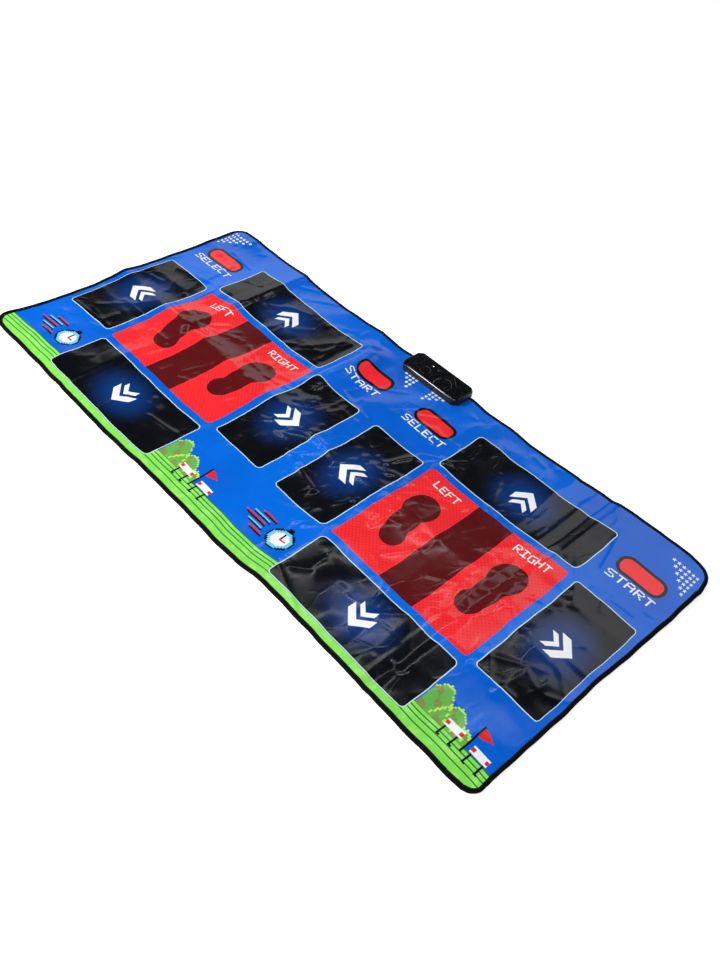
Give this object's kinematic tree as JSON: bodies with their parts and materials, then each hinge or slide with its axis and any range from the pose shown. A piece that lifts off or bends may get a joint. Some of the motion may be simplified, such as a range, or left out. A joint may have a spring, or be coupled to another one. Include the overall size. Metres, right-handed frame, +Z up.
{
  "type": "folding game mat",
  "caption": "Soft two-player floor mat with pressure pads for running games, bound edges, folding ends and a control box clamped on one long side.",
  "frame": {"origin": "middle of the mat, on the floor under it", "axes": "+X along the mat from the first player's end to the second's, +Y towards the far edge with the control box, +Z up"},
  "size_m": [1.65, 0.793, 0.0269],
  "materials": {
    "printed_vinyl": "blue printed soft vinyl, semi-gloss, creased",
    "pad_vinyl": "near-black printed soft vinyl with a navy glow and a white chevron",
    "foot_vinyl": "red printed soft vinyl with fine dark dots",
    "backing_cloth": "black woven anti-slip backing",
    "spacer_foam": "white open-cell foam sheet",
    "contact_film": "clear film with printed silver-grey tracks",
    "binding_tape": "black woven binding tape with lockstitching",
    "box_plastic": "black moulded plastic, satin",
    "fascia_plastic": "glossy black plastic with fine scuffs",
    "button_plastic": "black moulded plastic, semi-gloss",
    "light_plastic": "clear light guide that shows white",
    "board_laminate": "green circuit board laminate",
    "chip_resin": "black moulded resin",
    "connector_plastic": "ivory film connector",
    "steel": "plain plated steel",
    "battery_jacket": "plain grey battery jacket"
  },
  "bodies": {
    "mat_centre": {"battery_1": "battery_jacket", "battery_2": "battery_jacket", "battery_3": "battery_jacket", "box_base": "box_plastic", "box_cover": "box_plastic", "box_fascia": "fascia_plastic", "centre_bottom_sheet": "backing_cloth", "centre_foam_spacer": "spacer_foam", "centre_lower_film": "contact_film", "centre_top_sheet": "printed_vinyl", "centre_upper_film": "contact_film", "circuit_board": "board_laminate", "far_left_screw": "steel", "far_left_tape": "binding_tape", "far_right_screw": "steel", "far_right_tape": "binding_tape", "game_chip": "chip_resin", "left_contact": "steel", "near_left_screw": "steel", "near_right_screw": "steel", "near_tape": "binding_tape", "p1_connector": "connector_plastic", "p1_film_tail": "contact_film", "p2_connector": "connector_plastic", "p2_film_tail": "contact_film", "power_switch": "chip_resin", "radio_module": "steel", "right_contact": "steel", "status_light": "light_plastic"},
    "left_panel": {"left_bottom_sheet": "backing_cloth", "left_lower_film": "contact_film", "left_foam_spacer": "spacer_foam", "left_upper_film": "contact_film", "left_top_sheet": "printed_vinyl", "left_tape": "binding_tape"},
    "right_panel": {"right_bottom_sheet": "backing_cloth", "right_lower_film": "contact_film", "right_foam_spacer": "spacer_foam", "right_upper_film": "contact_film", "right_top_sheet": "printed_vinyl", "right_tape": "binding_tape"},
    "p1_up": {"p1_up_pad": "pad_vinyl"},
    "p1_down": {"p1_down_pad": "pad_vinyl"},
    "p1_left": {"p1_left_pad": "pad_vinyl"},
    "p1_right": {"p1_right_pad": "pad_vinyl"},
    "p1_foot_left": {"p1_foot_left_pad": "foot_vinyl"},
    "p1_foot_right": {"p1_foot_right_pad": "foot_vinyl"},
    "p1_select": {"p1_select_pad": "foot_vinyl"},
    "p1_start": {"p1_start_pad": "foot_vinyl"},
    "p2_up": {"p2_up_pad": "pad_vinyl"},
    "p2_down": {"p2_down_pad": "pad_vinyl"},
    "p2_left": {"p2_left_pad": "pad_vinyl"},
    "p2_right": {"p2_right_pad": "pad_vinyl"},
    "p2_foot_left": {"p2_foot_left_pad": "foot_vinyl"},
    "p2_foot_right": {"p2_foot_right_pad": "foot_vinyl"},
    "p2_select": {"p2_select_pad": "foot_vinyl"},
    "p2_start": {"p2_start_pad": "foot_vinyl"},
    "power_button": {"power_button": "button_plastic"},
    "battery_door": {"battery_door": "box_plastic"}
  },
  "joints": [
    {"name": "left_panel_fold", "type": "hinge", "parent": "mat_centre", "child": "left_panel", "pos_m": [-0.622, 0, 0.018], "axis": [0, 1, 0], "range_deg": [0, 180]},
    {"name": "right_panel_fold", "type": "hinge", "parent": "mat_centre", "child": "right_panel", "pos_m": [0.622, 0, 0.018], "axis": [0, -1, 0], "range_deg": [0, 180]},
    {"name": "p1_up_press", "type": "slide", "parent": "mat_centre", "child": "p1_up", "axis": [0, 0, -1], "range_m": [0, 0.0022], "stiffness_N_per_m": 2500, "springref_m": -0.002},
    {"name": "p1_down_press", "type": "slide", "parent": "mat_centre", "child": "p1_down", "axis": [0, 0, -1], "range_m": [0, 0.0022], "stiffness_N_per_m": 2500, "springref_m": -0.002},
    {"name": "p1_left_press", "type": "slide", "parent": "left_panel", "child": "p1_left", "axis": [0, 0, -1], "range_m": [0, 0.0022], "stiffness_N_per_m": 2500, "springref_m": -0.002},
    {"name": "p1_right_press", "type": "slide", "parent": "mat_centre", "child": "p1_right", "axis": [0, 0, -1], "range_m": [0, 0.0022], "stiffness_N_per_m": 2500, "springref_m": -0.002},
    {"name": "p1_foot_left_press", "type": "slide", "parent": "mat_centre", "child": "p1_foot_left", "axis": [0, 0, -1], "range_m": [0, 0.0022], "stiffness_N_per_m": 2500, "springref_m": -0.002},
    {"name": "p1_foot_right_press", "type": "slide", "parent": "mat_centre", "child": "p1_foot_right", "axis": [0, 0, -1], "range_m": [0, 0.0022], "stiffness_N_per_m": 2500, "springref_m": -0.002},
    {"name": "p1_select_press", "type": "slide", "parent": "left_panel", "child": "p1_select", "axis": [0, 0, -1], "range_m": [0, 0.0022], "stiffness_N_per_m": 2500, "springref_m": -0.002},
    {"name": "p1_start_press", "type": "slide", "parent": "mat_centre", "child": "p1_start", "axis": [0, 0, -1], "range_m": [0, 0.0022], "stiffness_N_per_m": 2500, "springref_m": -0.002},
    {"name": "p2_up_press", "type": "slide", "parent": "mat_centre", "child": "p2_up", "axis": [0, 0, -1], "range_m": [0, 0.0022], "stiffness_N_per_m": 2500, "springref_m": -0.002},
    {"name": "p2_down_press", "type": "slide", "parent": "mat_centre", "child": "p2_down", "axis": [0, 0, -1], "range_m": [0, 0.0022], "stiffness_N_per_m": 2500, "springref_m": -0.002},
    {"name": "p2_left_press", "type": "slide", "parent": "mat_centre", "child": "p2_left", "axis": [0, 0, -1], "range_m": [0, 0.0022], "stiffness_N_per_m": 2500, "springref_m": -0.002},
    {"name": "p2_right_press", "type": "slide", "parent": "right_panel", "child": "p2_right", "axis": [0, 0, -1], "range_m": [0, 0.0022], "stiffness_N_per_m": 2500, "springref_m": -0.002},
    {"name": "p2_foot_left_press", "type": "slide", "parent": "mat_centre", "child": "p2_foot_left", "axis": [0, 0, -1], "range_m": [0, 0.0022], "stiffness_N_per_m": 2500, "springref_m": -0.002},
    {"name": "p2_foot_right_press", "type": "slide", "parent": "mat_centre", "child": "p2_foot_right", "axis": [0, 0, -1], "range_m": [0, 0.0022], "stiffness_N_per_m": 2500, "springref_m": -0.002},
    {"name": "p2_select_press", "type": "slide", "parent": "mat_centre", "child": "p2_select", "axis": [0, 0, -1], "range_m": [0, 0.0022], "stiffness_N_per_m": 2500, "springref_m": -0.002},
    {"name": "p2_start_press", "type": "slide", "parent": "right_panel", "child": "p2_start", "axis": [0, 0, -1], "range_m": [0, 0.0022], "stiffness_N_per_m": 2500, "springref_m": -0.002},
    {"name": "power_button_press", "type": "slide", "parent": "mat_centre", "child": "power_button", "axis": [0, 0, -1], "range_m": [0, 0.0008], "stiffness_N_per_m": 600, "springref_m": -0.0008},
    {"name": "battery_door_slide", "type": "slide", "parent": "mat_centre", "child": "battery_door", "axis": [0, 1, 0], "range_m": [0, 0.045]}
  ]
}
